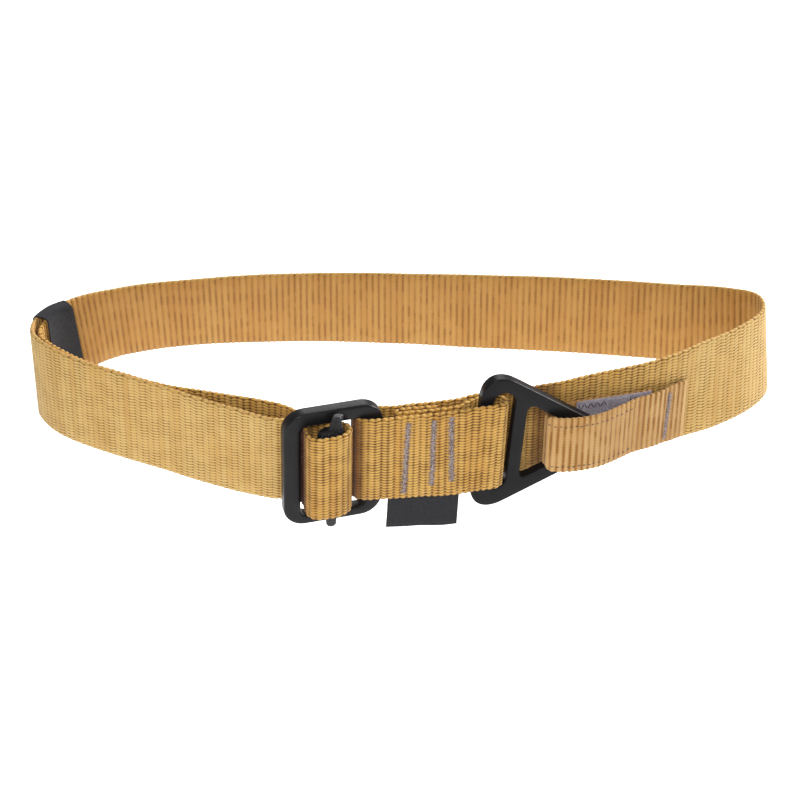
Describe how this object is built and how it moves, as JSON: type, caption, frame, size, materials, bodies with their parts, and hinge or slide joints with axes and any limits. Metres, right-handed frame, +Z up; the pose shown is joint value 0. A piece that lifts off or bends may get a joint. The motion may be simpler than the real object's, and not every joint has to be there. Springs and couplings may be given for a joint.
{
  "type": "rappel belt",
  "caption": "Wide tan webbing waist belt in a closed loop, with a black friction buckle, a black V ring held down by a webbing tab, and an elastic keeper for the strap's tail.",
  "frame": {"origin": "middle of the waist opening at half the height of the webbing", "axes": "+Z up the wearer's body, -Y towards the wearer's front, where the buckle is, +X towards the wearer's left, where the V ring is"},
  "size_m": [0.3523, 0.1532, 0.0747],
  "materials": {
    "webbing": "woven tan webbing",
    "buckle_frame": "satin black steel",
    "slide_bar": "satin black steel, knurled",
    "v_ring": "satin black steel",
    "ring_tab": "light ribbed webbing",
    "loop_pad": "grey loop fastener tape",
    "hook_pad": "grey hook fastener tape",
    "tail_keeper": "black elastic",
    "label": "black tape"
  },
  "bodies": {
    "root": {"webbing": "webbing", "buckle_frame": "buckle_frame", "slide_bar": "slide_bar", "v_ring": "v_ring", "ring_tab": "ring_tab", "loop_pad": "loop_pad", "hook_pad": "hook_pad", "tail_keeper": "tail_keeper", "label": "label"}
  },
  "joints": []
}
